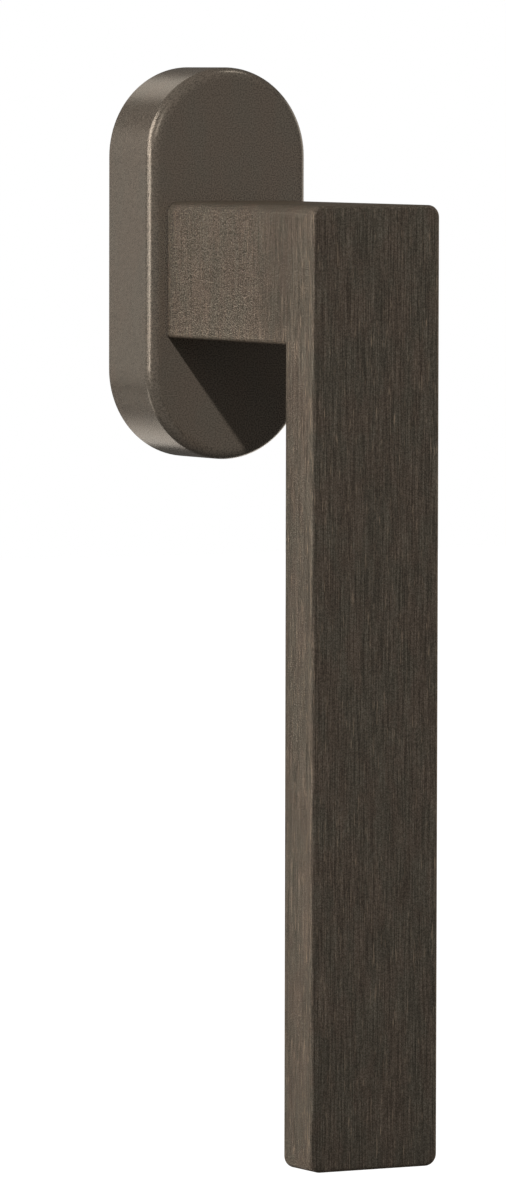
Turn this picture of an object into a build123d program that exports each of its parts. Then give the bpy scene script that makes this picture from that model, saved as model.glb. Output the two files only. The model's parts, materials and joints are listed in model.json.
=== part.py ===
from build123d import *
import os

# Tilt and turn window handle: an L-shaped lever on a slim oval rose.
#
# The origin is on the spindle axis, on the sash face that the rose is screwed to.
# +Y points into the sash, -Y to the room, +Z up. The lever hangs down, which is the
# closed window. "Depth" is the distance from the sash face towards the room, so a
# plane at depth d stands at y = -d, and a sketch on it has x to the right and y up.

os.makedirs("parts", exist_ok=True)

# Driving dimensions of the visible parts, in millimetres
rose_height = 62.0
rose_width = 28.3
rose_depth = 14.0
rose_edge_radius = 1.85
lever_width = 22.5
lever_top = 9.9
lever_bottom = -138.9
lever_front = 61.3
grip_thickness = 8.9
neck_bottom = -11.6
lever_corner_radius = 1.9
lever_edge_radius = 0.65
rose_to_lever_gap = 0.35

# Interface to the window
spindle_side = 7.0
spindle_reach = 20.0
screw_spacing = 43.0
screw_thread_radius = 2.5
screw_length = 25.0
lug_radius = 5.0
lug_reach = 8.0

# Fits
running_clearance = 0.05
loose_clearance = 0.1
spindle_clearance = 0.05

# Rose cover and the base inside it
cover_wall = 1.5
cover_inner_edge_radius = 0.5
cover_to_base_gap = 0.25
back_plate_thickness = 1.2
base_front = 9.0
base_edge_chamfer = 0.6
hub_radius = 11.0
hub_front = 11.2
cavity_radius = 9.9
cavity_front = 6.6

# Journal, which carries the lever in the base
journal_radius = 7.0
journal_back = 1.3
journal_grip = 10.0
journal_chamfer = 0.5
cam_seat_radius = 6.0
cam_seat_half_flats = 5.4
cam_back = 2.4
cam_front = 5.2
ring_back = 1.5
ring_front = 2.3
ring_groove_radius = 5.6
ring_outer_radius = 7.6
washer_inner_radius = 7.3
washer_outer_radius = 9.2
washer_rise = 0.25
washer_thickness = 0.25
spindle_tip_past_journal = 10.0
spindle_chamfer = 0.6
spindle_pin_radius = 1.0
spindle_pin_half_length = 6.5
spindle_pin_chamfer = 0.2
spindle_pin_depth = 8.8

# Screws and lugs
screw_hole_radius = 2.7
screw_shank_radius = 2.2
screw_head_radius = 4.6
screw_head_recess = 0.35
screw_thread_past_lug = 0.5
screw_tip_chamfer = 0.6
screw_cross_length = 4.6
screw_cross_width = 1.0
screw_cross_depth = 1.8
lug_collar_radius = 5.6
lug_spigot_radius = 4.6
lug_spigot_in_base = 2.0
lug_chamfer = 0.5
plate_screw_x = 8.6
plate_screw_z = 13.0
plate_screw_radius = 1.1
plate_screw_head_radius = 2.0
plate_screw_length = 6.0
plate_screw_sink = 0.05
plate_screw_socket = 1.5
plate_screw_socket_depth = 0.8
back_plate_spindle_radius = 5.3

# Spring clips that hold the cover on the base
clip_x = 11.85
clip_thickness = 0.35
clip_rise = 1.0
clip_half_length = 5.0
clip_back = 1.6
clip_bend = 3.2
clip_crest = 5.9
clip_front = 8.6
clip_groove_half_length = 5.6
clip_groove_back = 4.6
clip_groove_front = 7.4
clip_groove_depth = 0.75

# Bush and guide ring
bush_radius = 8.3
bush_flange_radius = 9.3
bush_flange_thickness = 0.8
guide_neck_radius = 8.8
guide_flange_radius = 10.5
guide_back = 11.45
guide_front_stand_off = 0.1

# Detent: a notched cam and two sprung plungers above and below it
cam_radius = 9.6
notch_radius = 1.95
notch_centre = 10.53
notch_count = 4
plunger_radius = 1.8
plunger_depth = 3.8
plunger_tip = 9.64
plunger_end = 13.3
spring_end = 16.2
spring_wire_radius = 0.22
spring_coil_radius = 1.35
spring_turns = 4.5
channel_radius = 1.88
channel_end = 16.3

# Grub screw under the neck
grub_depth = 18.5
grub_radius = 2.5
grub_point_radius = 1.75
grub_point_length = 0.95
grub_recess = 0.3
grub_socket_flats = 2.5
grub_socket_depth = 2.2

neck_back = rose_depth + rose_to_lever_gap
journal_front = neck_back + journal_grip
spindle_front = journal_front + spindle_tip_past_journal
square_hole_side = spindle_side + 2 * spindle_clearance
cover_inner_front = rose_depth - cover_wall
lug_height = screw_spacing / 2
base_width = rose_width - 2 * cover_wall - 2 * cover_to_base_gap
base_height = rose_height - 2 * cover_wall - 2 * cover_to_base_gap


def depth_plane(depth):
    """The plane at this depth, with x to the right and y up, facing the room."""
    return Plane.XZ.offset(depth)


def finish(piece, name):
    """Labels a finished piece and writes it."""
    piece.label = name
    export_step(piece, f"parts/{name}.step")


# ---------------------------------------------------------------- lever body

grip_back = lever_front - grip_thickness
neck_bore_radius = journal_radius + running_clearance
socket_front = spindle_front + loose_clearance

with BuildPart() as lever_handle:
    with BuildSketch(Plane.YZ):
        with BuildLine():
            Polyline(
                (-neck_back, lever_top),
                (-lever_front, lever_top),
                (-lever_front, lever_bottom),
                (-grip_back, lever_bottom),
                (-grip_back, neck_bottom),
                (-neck_back, neck_bottom),
                close=True,
            )
        make_face()
    extrude(amount=lever_width / 2, both=True)
    corners = lever_handle.edges().filter_by(Axis.Y).group_by(Axis.Z)
    fillet(corners[0] + corners[-1], radius=lever_corner_radius)
    front_face = lever_handle.faces().sort_by(Axis.Y)[0]
    grip_back_face = lever_handle.faces().filter_by(Plane.XZ).sort_by(Axis.Y)[1]
    neck_under_face = lever_handle.faces().filter_by(Plane.XY).sort_by(Axis.Z)[1]
    grip_back_edges = grip_back_face.edges().sort_by(Axis.Z)[:-1]
    neck_under_edges = neck_under_face.edges().filter_by(Axis.Y)
    fillet(front_face.edges() + grip_back_edges + neck_under_edges, radius=lever_edge_radius)
    with BuildSketch(depth_plane(neck_back)):
        Circle(neck_bore_radius)
    extrude(amount=journal_grip, mode=Mode.SUBTRACT)
    with BuildSketch(depth_plane(journal_front)):
        Rectangle(square_hole_side, square_hole_side)
    extrude(amount=socket_front - journal_front, mode=Mode.SUBTRACT)
    with BuildSketch(Plane.XY.offset(neck_bottom)):
        with Locations((0, -grub_depth)):
            Circle(grub_radius + running_clearance)
    extrude(amount=-neck_bottom, mode=Mode.SUBTRACT)
finish(lever_handle.part, "lever_handle")

grub_point_top = -journal_radius + grub_point_length
with BuildPart() as journal_sleeve:
    with BuildSketch(depth_plane(journal_back)):
        Circle(cam_seat_radius)
        Rectangle(2 * cam_seat_half_flats, 2 * cam_seat_radius, mode=Mode.INTERSECT)
    extrude(amount=cam_front - journal_back)
    with BuildSketch(depth_plane(cam_front)):
        Circle(journal_radius)
    extrude(amount=journal_front - cam_front)
    chamfer(journal_sleeve.faces().sort_by(Axis.Y)[0].edges(), length=journal_chamfer)
    with BuildSketch(depth_plane(ring_back)):
        Circle(ring_outer_radius)
        Circle(ring_groove_radius, mode=Mode.SUBTRACT)
    extrude(amount=ring_front - ring_back, mode=Mode.SUBTRACT)
    with BuildSketch(depth_plane(journal_back)):
        Rectangle(square_hole_side, square_hole_side)
    extrude(amount=journal_front - journal_back, mode=Mode.SUBTRACT)
    with BuildSketch(Plane.YZ):
        with Locations((-spindle_pin_depth, 0)):
            Circle(spindle_pin_radius + running_clearance)
    extrude(amount=journal_radius, both=True, mode=Mode.SUBTRACT)
    with BuildSketch(Plane.XY.offset(grub_point_top + running_clearance)):
        with Locations((0, -grub_depth)):
            Circle(grub_point_radius + running_clearance)
    extrude(amount=-journal_radius, mode=Mode.SUBTRACT)
finish(journal_sleeve.part, "journal_sleeve")

with BuildPart() as square_spindle:
    with BuildSketch(depth_plane(-spindle_reach)):
        Rectangle(spindle_side, spindle_side)
    extrude(amount=spindle_reach + spindle_front)
    end_edges = square_spindle.edges().group_by(Axis.Y)
    chamfer(end_edges[0] + end_edges[-1], length=spindle_chamfer)
    with BuildSketch(Plane.YZ):
        with Locations((-spindle_pin_depth, 0)):
            Circle(spindle_pin_radius + running_clearance)
    extrude(amount=spindle_side, both=True, mode=Mode.SUBTRACT)
finish(square_spindle.part, "square_spindle")

with BuildPart() as spindle_pin:
    with BuildSketch(Plane.YZ):
        with Locations((-spindle_pin_depth, 0)):
            Circle(spindle_pin_radius)
    extrude(amount=spindle_pin_half_length, both=True)
    chamfer(spindle_pin.edges().filter_by(GeomType.CIRCLE), length=spindle_pin_chamfer)
finish(spindle_pin.part, "spindle_pin")

grub_bottom = neck_bottom + grub_recess
grub_shoulder = -journal_radius - loose_clearance
with BuildPart() as neck_grub_screw:
    with BuildSketch(Plane.XY.offset(grub_bottom)):
        with Locations((0, -grub_depth)):
            Circle(grub_radius)
            RegularPolygon(grub_socket_flats / 2, 6, major_radius=False, mode=Mode.SUBTRACT)
    extrude(amount=grub_socket_depth)
    with BuildSketch(Plane.XY.offset(grub_bottom + grub_socket_depth)):
        with Locations((0, -grub_depth)):
            Circle(grub_radius)
    extrude(amount=grub_shoulder - grub_bottom - grub_socket_depth)
    with BuildSketch(Plane.XY.offset(grub_shoulder)):
        with Locations((0, -grub_depth)):
            Circle(grub_point_radius)
    extrude(amount=grub_point_top - grub_shoulder)
finish(neck_grub_screw.part, "neck_grub_screw")

with BuildPart() as detent_cam:
    with BuildSketch(depth_plane(cam_back)):
        Circle(cam_radius)
        with PolarLocations(notch_centre, notch_count):
            Circle(notch_radius, mode=Mode.SUBTRACT)
    extrude(amount=cam_front - cam_back)
    with BuildSketch(depth_plane(cam_back)):
        Circle(cam_seat_radius + running_clearance)
        Rectangle(
            2 * (cam_seat_half_flats + running_clearance), 2 * cam_radius, mode=Mode.INTERSECT
        )
    extrude(amount=cam_front - cam_back, mode=Mode.SUBTRACT)
finish(detent_cam.part, "detent_cam")

with BuildPart() as retaining_ring:
    with BuildSketch(depth_plane(ring_back + running_clearance)):
        Circle(ring_outer_radius)
        Circle(ring_groove_radius + running_clearance, mode=Mode.SUBTRACT)
        with Locations((0, -ring_outer_radius)):
            Rectangle(ring_outer_radius, ring_outer_radius, mode=Mode.SUBTRACT)
    extrude(amount=ring_front - ring_back - 2 * running_clearance)
finish(retaining_ring.part, "retaining_ring")

# A dished spring washer that pulls the lever's journal back against its ring
washer_back = cam_front + running_clearance
with BuildPart() as spring_washer:
    with BuildSketch(Plane.XY):
        with BuildLine():
            Polyline(
                (washer_inner_radius, -washer_back - washer_rise),
                (washer_outer_radius, -washer_back),
                (washer_outer_radius, -washer_back - washer_thickness),
                (washer_inner_radius, -washer_back - washer_rise - washer_thickness),
                close=True,
            )
        make_face()
    revolve(axis=Axis.Y)
finish(spring_washer.part, "spring_washer")

# ---------------------------------------------------------------- rose and base

cover_inner_width = rose_width - 2 * cover_wall
cover_inner_height = rose_height - 2 * cover_wall

with BuildPart() as cover_room:
    with BuildSketch(depth_plane(0)):
        SlotOverall(cover_inner_height, cover_inner_width, rotation=90)
    extrude(amount=cover_inner_front)
    fillet(cover_room.faces().sort_by(Axis.Y)[0].edges(), radius=cover_inner_edge_radius)

with BuildPart() as rose_cover:
    with BuildSketch(depth_plane(0)):
        SlotOverall(rose_height, rose_width, rotation=90)
    extrude(amount=rose_depth)
    fillet(rose_cover.faces().sort_by(Axis.Y)[0].edges(), radius=rose_edge_radius)
    add(cover_room.part, mode=Mode.SUBTRACT)
    with BuildSketch(depth_plane(cover_inner_front)):
        Circle(guide_neck_radius + running_clearance)
    extrude(amount=cover_wall, mode=Mode.SUBTRACT)
    with BuildSketch(depth_plane(clip_groove_back)):
        Rectangle(cover_inner_width + 2 * clip_groove_depth, 2 * clip_groove_half_length)
    extrude(amount=clip_groove_front - clip_groove_back, mode=Mode.SUBTRACT)
finish(rose_cover.part, "rose_cover")

with BuildPart() as cover_guide_ring:
    with BuildSketch(depth_plane(guide_back)):
        Circle(guide_flange_radius)
    extrude(amount=cover_inner_front - guide_back)
    with BuildSketch(depth_plane(cover_inner_front)):
        Circle(guide_neck_radius)
    extrude(amount=cover_wall + guide_front_stand_off)
    with BuildSketch(depth_plane(guide_back)):
        Circle(journal_radius + 2 * running_clearance)
    extrude(amount=rose_depth, mode=Mode.SUBTRACT)
finish(cover_guide_ring.part, "cover_guide_ring")

lug_places = [(0, lug_height), (0, -lug_height)]
plate_screw_places = [
    (x, z)
    for x in (-plate_screw_x, plate_screw_x)
    for z in (-plate_screw_z, plate_screw_z)
]
lug_spigot_front = back_plate_thickness + lug_spigot_in_base
countersink_radius = screw_head_radius + screw_head_recess + running_clearance

with BuildPart() as base_body:
    with BuildSketch(depth_plane(back_plate_thickness)):
        SlotOverall(base_height, base_width, rotation=90)
    extrude(amount=base_front - back_plate_thickness)
    chamfer(base_body.faces().sort_by(Axis.Y)[0].edges(), length=base_edge_chamfer)
    with BuildSketch(depth_plane(back_plate_thickness)):
        Circle(hub_radius)
    extrude(amount=hub_front - back_plate_thickness)
    with BuildSketch(depth_plane(back_plate_thickness)):
        Circle(cavity_radius)
    extrude(amount=cavity_front - back_plate_thickness, mode=Mode.SUBTRACT)
    with BuildSketch(depth_plane(cavity_front)):
        Circle(bush_radius + running_clearance)
    extrude(amount=hub_front - cavity_front, mode=Mode.SUBTRACT)
    with BuildSketch(Plane.XY):
        with Locations((0, -plunger_depth)):
            Circle(channel_radius)
    extrude(amount=channel_end, both=True, mode=Mode.SUBTRACT)
    with BuildSketch(depth_plane(back_plate_thickness)):
        with Locations(lug_places):
            Circle(lug_spigot_radius + running_clearance)
    extrude(amount=lug_spigot_in_base, mode=Mode.SUBTRACT)
    with BuildSketch(depth_plane(back_plate_thickness)):
        with Locations(plate_screw_places):
            Circle(plate_screw_radius + running_clearance)
    extrude(amount=plate_screw_length, mode=Mode.SUBTRACT)
    with BuildSketch(depth_plane(clip_back - loose_clearance)):
        with Locations((clip_x + base_width / 2, 0), (-clip_x - base_width / 2, 0)):
            Rectangle(base_width + clip_thickness, 2 * clip_half_length + 2 * loose_clearance)
    extrude(amount=base_front, mode=Mode.SUBTRACT)
    with Locations(
        *[Plane((x, -base_front, z), z_dir=(0, -1, 0)) for x, z in lug_places]
    ):
        CounterSinkHole(
            screw_hole_radius, countersink_radius, depth=base_front, counter_sink_angle=90
        )
finish(base_body.part, "base_body")

with BuildPart() as back_plate:
    with BuildSketch(depth_plane(0)):
        SlotOverall(base_height, base_width, rotation=90)
        Circle(back_plate_spindle_radius, mode=Mode.SUBTRACT)
        with Locations(lug_places):
            Circle(lug_collar_radius + running_clearance, mode=Mode.SUBTRACT)
    extrude(amount=back_plate_thickness)
    with Locations(
        *[Plane((x, 0, z), z_dir=(0, 1, 0)) for x, z in plate_screw_places]
    ):
        CounterSinkHole(
            plate_screw_radius + running_clearance,
            plate_screw_head_radius + running_clearance,
            depth=back_plate_thickness,
            counter_sink_angle=90,
        )
finish(back_plate.part, "back_plate")

with BuildPart() as back_plate_screws:
    for x, z in plate_screw_places:
        with BuildSketch(Plane((x, 0, z))):
            with BuildLine():
                Polyline(
                    (0, -plate_screw_sink),
                    (plate_screw_head_radius - plate_screw_sink, -plate_screw_sink),
                    (plate_screw_radius, plate_screw_radius - plate_screw_head_radius),
                    (plate_screw_radius, -plate_screw_length),
                    (0, -plate_screw_length),
                    close=True,
                )
            make_face()
        revolve(axis=Axis((x, 0, z), (0, 1, 0)))
        with BuildSketch(Plane((x, -plate_screw_sink, z), z_dir=(0, -1, 0))):
            RegularPolygon(plate_screw_socket / 2, 6, major_radius=False)
        extrude(amount=plate_screw_socket_depth, mode=Mode.SUBTRACT)
finish(back_plate_screws.part, "back_plate_screws")

with BuildPart() as bearing_bush:
    with BuildSketch(depth_plane(cavity_front - bush_flange_thickness)):
        Circle(bush_flange_radius)
    extrude(amount=bush_flange_thickness)
    with BuildSketch(depth_plane(cavity_front)):
        Circle(bush_radius)
    extrude(amount=hub_front - cavity_front)
    with BuildSketch(depth_plane(cavity_front - bush_flange_thickness)):
        Circle(journal_radius + running_clearance)
    extrude(amount=hub_front, mode=Mode.SUBTRACT)
finish(bearing_bush.part, "bearing_bush")

# Each lug has a collar in the back plate and a spigot in the base, and its screw runs through it
for (x, z), name in zip(lug_places, ("support_lug_upper", "support_lug_lower")):
    with BuildPart() as support_lug:
        with BuildSketch(Plane((x, lug_reach, z), z_dir=(0, -1, 0))):
            Circle(lug_radius)
        extrude(amount=lug_reach)
        with BuildSketch(Plane((x, 0, z), z_dir=(0, -1, 0))):
            Circle(lug_collar_radius)
        extrude(amount=back_plate_thickness)
        with BuildSketch(Plane((x, -back_plate_thickness, z), z_dir=(0, -1, 0))):
            Circle(lug_spigot_radius)
        extrude(amount=lug_spigot_in_base)
        chamfer(support_lug.faces().sort_by(Axis.Y)[-1].edges(), length=lug_chamfer)
        with BuildSketch(Plane((x, lug_reach, z), z_dir=(0, -1, 0))):
            Circle(screw_hole_radius)
        extrude(amount=lug_reach + lug_spigot_front, mode=Mode.SUBTRACT)
    finish(support_lug.part, name)

# Countersunk screws with a plain shank up to the end of the lug and thread beyond it
screw_head_y = screw_head_recess - base_front
screw_neck_y = screw_head_y + screw_head_radius - screw_shank_radius
screw_thread_y = lug_reach + screw_thread_past_lug
screw_tip_y = screw_head_y + screw_length
with BuildPart() as fixing_screws:
    for x, z in lug_places:
        with BuildSketch(Plane((x, 0, z))):
            with BuildLine():
                Polyline(
                    (0, screw_head_y),
                    (screw_head_radius, screw_head_y),
                    (screw_shank_radius, screw_neck_y),
                    (screw_shank_radius, screw_thread_y),
                    (screw_thread_radius, screw_thread_y),
                    (screw_thread_radius, screw_tip_y - screw_tip_chamfer),
                    (screw_thread_radius - screw_tip_chamfer, screw_tip_y),
                    (0, screw_tip_y),
                    close=True,
                )
            make_face()
        revolve(axis=Axis((x, 0, z), (0, 1, 0)))
        with BuildSketch(Plane((x, screw_head_y, z), z_dir=(0, -1, 0))):
            Rectangle(screw_cross_length, screw_cross_width)
            Rectangle(screw_cross_width, screw_cross_length)
        extrude(amount=-screw_cross_depth, mode=Mode.SUBTRACT)
finish(fixing_screws.part, "fixing_screws")

# Two bent leaves on the long sides of the base that hold the cover by its grooves
with BuildPart() as cover_clips:
    with BuildSketch(Plane.XY.offset(-clip_half_length)):
        for side in (-1, 1):
            with BuildLine() as leaf:
                Polyline(
                    (side * clip_x, -clip_back),
                    (side * clip_x, -clip_bend),
                    (side * (clip_x + clip_rise), -clip_crest),
                    (side * clip_x, -clip_front),
                )
            trace(leaf.line, line_width=clip_thickness)
    extrude(amount=2 * clip_half_length)
finish(cover_clips.part, "cover_clips")

# ---------------------------------------------------------------- detent

spring_start = plunger_end + running_clearance
spring_height = spring_end - spring_start - 2 * spring_wire_radius

for way, side in ((1, "upper"), (-1, "lower")):
    nose_centre = plunger_tip + plunger_radius
    with BuildPart() as detent_plunger:
        with BuildSketch(Plane((0, -plunger_depth, way * nose_centre), z_dir=(0, 0, way))):
            Circle(plunger_radius)
        extrude(amount=plunger_end - nose_centre)
        with Locations((0, -plunger_depth, way * nose_centre)):
            Sphere(plunger_radius)
    finish(detent_plunger.part, f"detent_plunger_{side}")

    with BuildPart() as detent_spring:
        with BuildLine() as coil:
            Helix(
                pitch=spring_height / spring_turns,
                height=spring_height,
                radius=spring_coil_radius,
                center=(0, -plunger_depth, way * (spring_start + spring_wire_radius)),
                direction=(0, 0, way),
            )
        with BuildSketch(Plane(coil.line @ 0, z_dir=coil.line % 0)):
            Circle(spring_wire_radius)
        sweep(path=coil.line, is_frenet=True)
    finish(detent_spring.part, f"detent_spring_{side}")
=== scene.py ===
import bpy
import bmesh
import json
from math import cos, pi, radians, sin, tau
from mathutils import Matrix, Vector


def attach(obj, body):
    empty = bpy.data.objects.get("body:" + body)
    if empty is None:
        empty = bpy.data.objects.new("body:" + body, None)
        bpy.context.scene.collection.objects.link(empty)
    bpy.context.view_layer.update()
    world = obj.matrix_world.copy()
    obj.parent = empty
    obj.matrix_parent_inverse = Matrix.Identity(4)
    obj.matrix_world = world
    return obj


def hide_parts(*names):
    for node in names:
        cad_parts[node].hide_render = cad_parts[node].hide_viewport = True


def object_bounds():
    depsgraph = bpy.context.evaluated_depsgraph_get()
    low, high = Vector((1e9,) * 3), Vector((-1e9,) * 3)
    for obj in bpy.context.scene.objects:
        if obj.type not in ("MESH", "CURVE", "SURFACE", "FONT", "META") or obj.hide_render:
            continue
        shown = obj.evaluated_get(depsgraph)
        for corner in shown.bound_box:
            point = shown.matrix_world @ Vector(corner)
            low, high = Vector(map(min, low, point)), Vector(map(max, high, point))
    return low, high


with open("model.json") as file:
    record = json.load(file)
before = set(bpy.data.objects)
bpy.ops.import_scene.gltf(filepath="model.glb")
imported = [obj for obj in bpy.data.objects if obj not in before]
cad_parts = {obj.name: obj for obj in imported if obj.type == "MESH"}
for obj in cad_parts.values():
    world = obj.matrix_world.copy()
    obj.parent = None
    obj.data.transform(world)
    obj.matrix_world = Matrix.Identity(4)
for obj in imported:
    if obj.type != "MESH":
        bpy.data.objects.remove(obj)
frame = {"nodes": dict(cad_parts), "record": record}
cad_low, cad_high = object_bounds()

# Everything is in metres, in the frame of the CAD model: the origin is on the spindle axis
# on the sash face, -Y points to the room and +Z up.
MM = 0.001
LEVER_FRONT = -61.3 * MM
GRIP_BACK = -52.4 * MM
NECK_BACK = -14.35 * MM
NECK_BOTTOM = -11.6 * MM
scene = bpy.context.scene
scene.view_settings.view_transform = "Standard"


# ---------------------------------------------------------------- camera

def add_camera():
    """A long lens, to the left of the handle and just above it."""
    data = bpy.data.cameras.new("camera")
    data.lens = 264.9
    camera = bpy.data.objects.new("camera", data)
    camera.location = (-0.6683, -1.2411, 0.0308)
    camera.rotation_euler = (pi / 2 - radians(3.444), 0, -radians(28.73))
    camera.rotation_euler.rotate_axis("Z", radians(0.117))
    scene.collection.objects.link(camera)
    scene.camera = camera


# ---------------------------------------------------------------- material tools

def add_node(tree, kind, inputs=None, **settings):
    """A new shader node. Each input is a value, or the output socket that feeds it."""
    node = tree.nodes.new(kind)
    for name, value in settings.items():
        setattr(node, name, value)
    for name, value in (inputs or {}).items():
        if isinstance(value, bpy.types.NodeSocket):
            tree.links.new(value, node.inputs[name])
        else:
            node.inputs[name].default_value = value
    return node


def math_node(tree, operation, first, second=0.0, third=0.0, clamp=False):
    """The output of a math node. Only a few operations use the third input."""
    inputs = {0: first, 1: second, 2: third}
    return add_node(
        tree, "ShaderNodeMath", inputs, operation=operation, use_clamp=clamp
    ).outputs[0]


def noise(tree, place, size, detail=2.0, roughness=0.6):
    """Noise from 0 to 1 with grains of about this size in metres, along x, y and z."""
    scaled = add_node(
        tree, "ShaderNodeVectorMath", {0: place, 1: [1 / s for s in size]}, operation="MULTIPLY"
    )
    inputs = {"Vector": scaled.outputs[0], "Scale": 1.0, "Detail": detail, "Roughness": roughness}
    return add_node(tree, "ShaderNodeTexNoise", inputs).outputs[0]


def spread(tree, value, low, high, to_low, to_high):
    """Maps low to high smoothly onto to_low to to_high, and holds it beyond."""
    inputs = {
        "Value": value, "From Min": low, "From Max": high, "To Min": to_low, "To Max": to_high
    }
    return add_node(tree, "ShaderNodeMapRange", inputs, interpolation_type="SMOOTHSTEP").outputs[0]


def mix_colours(tree, factor, first, second, blend="MIX"):
    """Mixes two colours. Each of them and the factor is a value or an output socket."""
    node = add_node(tree, "ShaderNodeMix", data_type="RGBA", blend_type=blend)
    for index, value in ((0, factor), (6, first), (7, second)):
        if isinstance(value, bpy.types.NodeSocket):
            tree.links.new(value, node.inputs[index])
        elif index:
            node.inputs[index].default_value = (*value, 1)
        else:
            node.inputs[index].default_value = value
    return node.outputs[2]


def scaled_colour(colour, amount):
    return [channel * amount for channel in colour]


def start_material(name, metallic):
    """A material, its tree, its shader and the place on the piece, in metres."""
    material = bpy.data.materials.new(name)
    material.use_nodes = True
    tree = material.node_tree
    shader = tree.nodes["Principled BSDF"]
    shader.inputs["Metallic"].default_value = metallic
    coordinates = add_node(tree, "ShaderNodeTexCoord")
    return material, tree, shader, coordinates


def set_bump(tree, shader, height, distance):
    """Bumps the surface by this height, up to this distance in metres."""
    bump = add_node(tree, "ShaderNodeBump", {"Height": height, "Distance": distance})
    tree.links.new(bump.outputs[0], shader.inputs["Normal"])


# ---------------------------------------------------------------- materials

# Nearly all of a noise lies between these two values
NOISE_RANGE = (0.3, 0.7)
LEVER_BRONZE = (0.121, 0.100, 0.078)
ROSE_BRONZE = (0.180, 0.148, 0.116)
# The colour of the painted glints on the lever
GLINT_BRONZE = (0.36, 0.27, 0.19)
# One step of tone makes the lever's bronze TONE_BASE times as light. It is TONE_LIMIT times as
# light at most, which it reaches at the tone of TONE_OF_LIMIT.
TONE_BASE = 2.4
TONE_LIMIT = 3
TONE_OF_LIMIT = 1.25


def near(tree, value, edge, width):
    """1 at this edge, falling to 0 at this width from it."""
    gap = math_node(tree, "ABSOLUTE", math_node(tree, "SUBTRACT", value, edge))
    return spread(tree, gap, 0, width, 1, 0)


def blasted_bronze():
    """The rose: a dark bronze metal lacquer over a finely blasted surface."""
    material, tree, shader, coordinates = start_material("blasted_bronze", 0.6)
    shader.inputs["Specular Tint"].default_value = (1.0, 0.92, 0.82, 1)
    place = coordinates.outputs["Object"]
    grain = noise(tree, place, [0.2 * MM] * 3, 1)
    cloud = noise(tree, place, [5 * MM, 5 * MM, 9 * MM])
    speckled = mix_colours(
        tree, spread(tree, grain, *NOISE_RANGE, 0, 1),
        scaled_colour(ROSE_BRONZE, 0.66), scaled_colour(ROSE_BRONZE, 1.34),
    )
    cloud_share = spread(tree, cloud, 0.35, 0.65, 0, 1)
    tinted = mix_colours(tree, cloud_share, (1.01, 0.99, 0.98), (0.98, 1.0, 1.0))
    colour = mix_colours(tree, 1.0, speckled, tinted, "MULTIPLY")
    tree.links.new(colour, shader.inputs["Base Color"])
    tree.links.new(spread(tree, grain, 0.25, 0.75, 0.25, 0.31), shader.inputs["Roughness"])
    set_bump(tree, shader, grain, 0.006 * MM)
    return material


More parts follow.
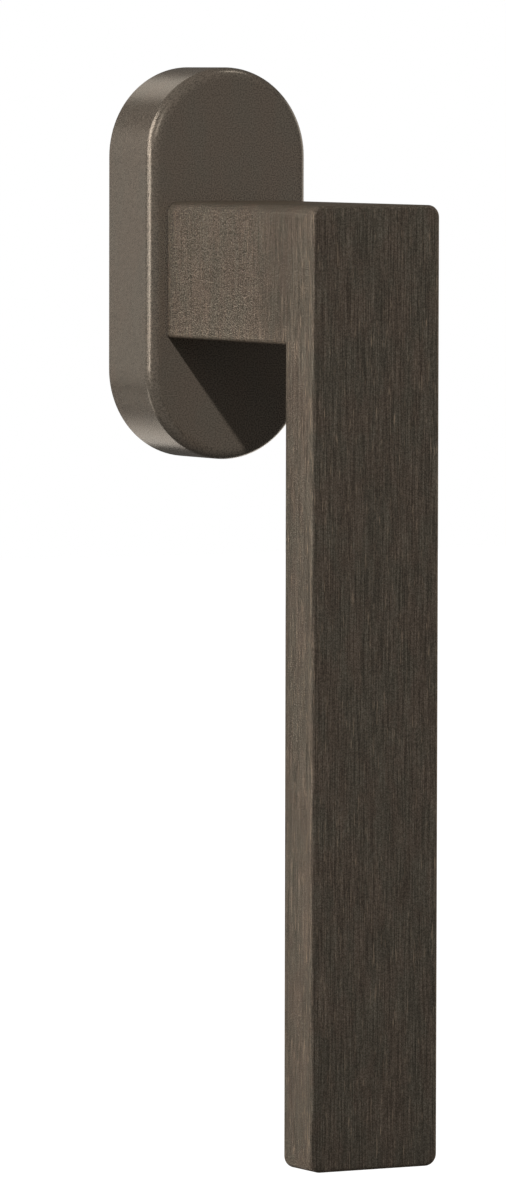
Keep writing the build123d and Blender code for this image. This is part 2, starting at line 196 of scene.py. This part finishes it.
def brushed_bronze():
    """The lever: a darker bronze, brushed along the grip, with a painted sheen near its edges and
    sparse painted glints.
    """
    material, tree, shader, coordinates = start_material("brushed_bronze", 0.6)
    shader.inputs["Specular Tint"].default_value = (1.0, 0.80, 0.60, 1)
    place = coordinates.outputs["Object"]
    axes = add_node(tree, "ShaderNodeSeparateXYZ", {"Vector": place})
    grain = noise(tree, place, [0.19 * MM] * 3, 1)
    hairs = noise(tree, place, [0.14 * MM, 0.14 * MM, 9 * MM], 2, 0.7)
    cloud = noise(tree, place, [2.5 * MM, 2.5 * MM, 7 * MM], 2)

    # The side faces get a painted sheen: they are painted lighter towards the front, the rose and
    # the underside of the neck
    facing = add_node(tree, "ShaderNodeSeparateXYZ", {"Vector": coordinates.outputs["Normal"]})
    sideways = spread(tree, math_node(tree, "ABSOLUTE", facing.outputs["X"]), 0.5, 0.9, 0, 1)
    edges = [
        near(tree, axes.outputs["Y"], LEVER_FRONT, 12 * MM),
        near(tree, axes.outputs["Y"], NECK_BACK, 2 * MM),
        near(tree, axes.outputs["Z"], NECK_BOTTOM, 5 * MM),
    ]
    edge_sheen = math_node(tree, "MAXIMUM", math_node(tree, "MAXIMUM", edges[0], edges[1]), edges[2])
    edge_sheen = math_node(tree, "MULTIPLY", edge_sheen, sideways)

    # The brush marks are strongest on the grip and fade along the neck. The speckle between
    # them is much stronger on the sides of the neck than anywhere else.
    neck_start = GRIP_BACK + 15 * MM
    depth_of_marks = spread(tree, axes.outputs["Y"], GRIP_BACK, neck_start, 0.55, 0.35)
    marks = math_node(tree, "MULTIPLY", spread(tree, hairs, *NOISE_RANGE, -1, 1), depth_of_marks)
    extra_speckle = spread(tree, axes.outputs["Y"], GRIP_BACK, neck_start, -0.05, 0.75)
    depth_of_speckle = math_node(tree, "MULTIPLY_ADD", sideways, extra_speckle, 0.42)
    speckle = math_node(tree, "MULTIPLY", spread(tree, grain, *NOISE_RANGE, -1, 1), depth_of_speckle)
    texture = math_node(tree, "ADD", marks, speckle)
    # Painted light: the neck is painted lighter than the grip
    neck_painted_light = spread(tree, axes.outputs["Y"], GRIP_BACK, neck_start, -0.05, 0.16)
    tone = math_node(tree, "ADD", texture, neck_painted_light)
    # Painted sheen: the side faces are painted lighter near their edges
    tone = math_node(tree, "ADD", tone, math_node(tree, "MULTIPLY", edge_sheen, 0.2))
    # Painted shade: the side faces are painted a little darker than the front
    tone = math_node(tree, "ADD", tone, math_node(tree, "MULTIPLY", sideways, -0.05))
    below_limit = math_node(tree, "SUBTRACT", tone, TONE_OF_LIMIT)
    share = math_node(tree, "POWER", TONE_BASE, below_limit, clamp=True)
    streaked = mix_colours(tree, share, (0, 0, 0), scaled_colour(LEVER_BRONZE, TONE_LIMIT))
    cloud_share = spread(tree, cloud, 0.35, 0.65, 0, 1)
    tinted = mix_colours(tree, cloud_share, (1.04, 0.985, 0.965), (0.965, 1.0, 0.985))
    colour = mix_colours(tree, 1.0, streaked, tinted, "MULTIPLY")

    # Sparse painted glints, thin light hairs in the colour, more of them in the painted edge sheen
    glint_noise = noise(tree, place, [0.18 * MM, 0.18 * MM, 3 * MM], 1)
    level = math_node(tree, "ADD", glint_noise, math_node(tree, "MULTIPLY", edge_sheen, 0.07))
    glints = spread(tree, level, 0.64, 0.78, 0, 0.8)
    colour = mix_colours(tree, glints, colour, GLINT_BRONZE)
    tree.links.new(colour, shader.inputs["Base Color"])
    tree.links.new(spread(tree, texture, -1, 1, 0.33, 0.43), shader.inputs["Roughness"])
    set_bump(tree, shader, texture, 0.035 * MM)
    return material


def plain_finish(name, colour, metallic, roughness, grain_size, bump, contrast):
    """A finish with a fine grain and bumps of these sizes in mm, and slightly uneven tone."""
    material, tree, shader, coordinates = start_material(name, metallic)
    place = coordinates.outputs["Object"]
    grain = noise(tree, place, [grain_size * MM] * 3, 3, 0.6)
    cloud = noise(tree, place, [2.5 * MM] * 3, 3)
    fine = math_node(tree, "MULTIPLY", grain, 0.6)
    mixed = math_node(tree, "ADD", fine, math_node(tree, "MULTIPLY", cloud, 0.4))
    share = spread(tree, mixed, *NOISE_RANGE, 0, 1)
    colours = mix_colours(
        tree, share, scaled_colour(colour, 1 - contrast), scaled_colour(colour, 1 + contrast)
    )
    tree.links.new(colours, shader.inputs["Base Color"])
    uneven = spread(tree, mixed, *NOISE_RANGE, roughness * 0.85, roughness * 1.2)
    tree.links.new(uneven, shader.inputs["Roughness"])
    set_bump(tree, shader, grain, bump * MM)
    return material


# Colour, metallic, roughness, grain and bump in mm, and contrast of tone
PLAIN_FINISHES = {
    "zinc_alloy": ((0.5, 0.5, 0.49), 0.9, 0.42, 0.3, 0.012, 0.15),
    "plated_steel": ((0.36, 0.365, 0.365), 1.0, 0.3, 0.25, 0.004, 0.07),
    "spring_steel": ((0.42, 0.42, 0.43), 1.0, 0.3, 0.2, 0.003, 0.15),
    "black_steel": ((0.055, 0.053, 0.05), 0.8, 0.38, 0.2, 0.006, 0.15),
    "black_nylon": ((0.03, 0.03, 0.032), 0.0, 0.5, 0.25, 0.015, 0.25),
    "natural_acetal": ((0.8, 0.79, 0.74), 0.0, 0.32, 0.5, 0.003, 0.04),
}


def make_finishes():
    """One material for each slot of the record."""
    made = {"rose_bronze": blasted_bronze(), "lever_bronze": brushed_bronze()}
    for name, settings in PLAIN_FINISHES.items():
        made[name] = plain_finish(name, *settings)
    return made


def finish_nodes(finishes):
    """Gives each CAD node the finish of its slot in the record."""
    for part in frame["record"]["subparts"]:
        mesh = frame["nodes"][part["node"]].data
        mesh.materials.clear()
        mesh.materials.append(finishes[part["material_slot"]])


# ---------------------------------------------------------------- fixing screws

SCREW_STEPS = 48
SCREW_HEIGHTS = {"fixing_screw_upper": 21.5 * MM, "fixing_screw_lower": -21.5 * MM}
SCREW_HEAD = -8.65 * MM
THREAD_START = 8.5 * MM
THREAD_PITCH = 0.8 * MM
THREAD_TURNS = 9.5
THREAD_ROOT = 2.05 * MM
THREAD_DEPTH = 0.42 * MM
SLICES_PER_TURN = 16


def round_outline(radius):
    """Distances from the axis to the edge of a circle, from its radius in mm."""
    return [radius * MM] * SCREW_STEPS


def cross_outline(half_length, half_width):
    """Distances from the axis to the edge of a cross recess, from its sizes in mm."""
    distances = []
    for step in range(SCREW_STEPS):
        angle = tau * step / SCREW_STEPS
        along = max(abs(cos(angle)), abs(sin(angle)))
        across = max(min(abs(cos(angle)), abs(sin(angle))), 0.001)
        distances.append(min(half_length / along, half_width / across) * MM)
    return distances


def thread_outline(turn, share):
    """The thread after this many turns, at this share of its full depth."""
    distances = []
    for step in range(SCREW_STEPS):
        phase = (turn - step / SCREW_STEPS) % 1
        ridge = min(max(1.5 - abs(phase - 0.5) * 4, 0), 1)
        distances.append(THREAD_ROOT + THREAD_DEPTH * ridge * share)
    return distances


def screw_outlines():
    """The screw as outlines across its axis, from the floor of the cross recess to the tip."""
    outlines = [
        (SCREW_HEAD + 1.8 * MM, cross_outline(2.1, 0.45)),
        (SCREW_HEAD, cross_outline(2.3, 0.5)),
        (SCREW_HEAD, round_outline(4.45)),
        (SCREW_HEAD + 0.15 * MM, round_outline(4.58)),
        (SCREW_HEAD + 2.5 * MM, round_outline(2.2)),
        (THREAD_START - 0.1 * MM, round_outline(2.2)),
    ]
    slices = round(THREAD_TURNS * SLICES_PER_TURN)
    for index in range(slices + 1):
        turn = index / SLICES_PER_TURN
        share = min(1, index / 8, (slices - index) / 12)
        outlines.append((THREAD_START + turn * THREAD_PITCH, thread_outline(turn, share)))
    outlines.append((THREAD_START + (THREAD_TURNS + 0.3) * THREAD_PITCH, round_outline(1.7)))
    return outlines


def add_fixing_screw(name, height, material):
    """A countersunk M5 screw with a real thread, around its axis along Y at this height."""
    mesh = bmesh.new()
    rings = []
    for y, distances in screw_outlines():
        points = []
        for step, distance in enumerate(distances):
            angle = tau * step / SCREW_STEPS
            place = (distance * cos(angle), y, height + distance * sin(angle))
            points.append(mesh.verts.new(place))
        rings.append(points)
    for ring, following in zip(rings, rings[1:]):
        for here in range(SCREW_STEPS):
            there = (here + 1) % SCREW_STEPS
            mesh.faces.new((ring[here], ring[there], following[there], following[here]))
    mesh.faces.new(rings[0])
    mesh.faces.new(rings[-1])
    bmesh.ops.recalc_face_normals(mesh, faces=mesh.faces)
    data = bpy.data.meshes.new(name)
    mesh.to_mesh(data)
    mesh.free()
    data.materials.append(material)
    screw = bpy.data.objects.new(name, data)
    scene.collection.objects.link(screw)
    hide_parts("fixing_screws")
    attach(screw, "base")


def add_fixing_screws(material):
    for name, height in SCREW_HEIGHTS.items():
        add_fixing_screw(name, height, material)


# ---------------------------------------------------------------- light and stage

def direction_to(azimuth, elevation):
    """From the handle, azimuth degrees left of straight in front and elevation degrees up."""
    a, e = radians(azimuth), radians(elevation)
    return Vector((-sin(a) * cos(e), -cos(a) * cos(e), sin(e)))


def add_light(name, kind, azimuth, elevation, energy, distance=1.5):
    """A light that looks at the handle, hidden from the camera."""
    away = direction_to(azimuth, elevation)
    data = bpy.data.lights.new(name, kind)
    data.energy = energy
    light = bpy.data.objects.new(name, data)
    light.location = (cad_low + cad_high) / 2 + away * distance
    light.rotation_euler = (-away).to_track_quat("-Z", "Y").to_euler()
    light.visible_camera = False
    scene.collection.objects.link(light)
    return light


def add_soft_light(name, azimuth, elevation, width, height, power):
    """An oval area light that looks at the handle."""
    light = add_light(name, "AREA", azimuth, elevation, power)
    light.data.shape = "ELLIPSE"
    light.data.size = width
    light.data.size_y = height


def add_lights():
    # The key gives the crisp shadow under the neck. The softer lights make all the highlights.
    key = add_light("key", "SPOT", 27, 31.5, 86)
    key.data.spot_size = radians(10.5)
    key.data.spot_blend = 0.75
    key.data.shadow_soft_size = 0.02
    key.visible_glossy = False
    add_soft_light("fill_front", 52, 30, 0.5, 0.5, 1.5)
    add_soft_light("side_front", 87, 6, 0.5, 0.35, 3.6)
    add_soft_light("side_strip", 108, 20, 0.3, 1.1, 6.2)
    add_soft_light("side_back", 128, 28, 0.4, 0.6, 3.4)
    add_soft_light("low_side", 140, -22, 0.7, 0.5, 1.2)
    add_soft_light("back_left", 150, 5, 0.8, 0.8, 0.7)
    add_soft_light("low_back", 184, -21, 0.6, 0.5, 1.1)
    add_soft_light("high_back", 185, 32, 0.5, 0.5, 0.6)
    add_soft_light("back_right", 225, -20, 0.7, 0.7, 2.2)
    add_soft_light("side_right", 250, 0, 1.2, 1.2, 3.5)
    add_soft_light("top_edge", -80, 60, 0.3, 0.3, 1.0)


def add_world():
    """Dim surroundings that the camera sees as plain white."""
    world = bpy.data.worlds.new("world")
    scene.world = world
    world.use_nodes = True
    tree = world.node_tree
    path = add_node(tree, "ShaderNodeLightPath")
    strength = spread(tree, path.outputs["Is Camera Ray"], 0, 1, 0.11, 1)
    background = tree.nodes["Background"]
    background.inputs["Color"].default_value = (1, 1, 1, 1)
    tree.links.new(strength, background.inputs["Strength"])


def add_floor():
    """A plain white floor far below the handle."""
    bpy.ops.mesh.primitive_plane_add(size=40, location=(0, 0, -1.3))
    floor = bpy.context.object
    floor.name = "floor"
    material = bpy.data.materials.new("white_floor")
    material.use_nodes = True
    shader = material.node_tree.nodes["Principled BSDF"]
    shader.inputs["Base Color"].default_value = (0.9, 0.9, 0.9, 1)
    shader.inputs["Roughness"].default_value = 0.9
    shader.inputs["Emission Color"].default_value = (1, 1, 1, 1)
    shader.inputs["Emission Strength"].default_value = 1.0
    floor.data.materials.append(material)
    floor.visible_diffuse = False
    floor.visible_glossy = False


add_camera()
finishes = make_finishes()
finish_nodes(finishes)
add_fixing_screws(finishes["plated_steel"])
add_lights()
add_world()
add_floor()
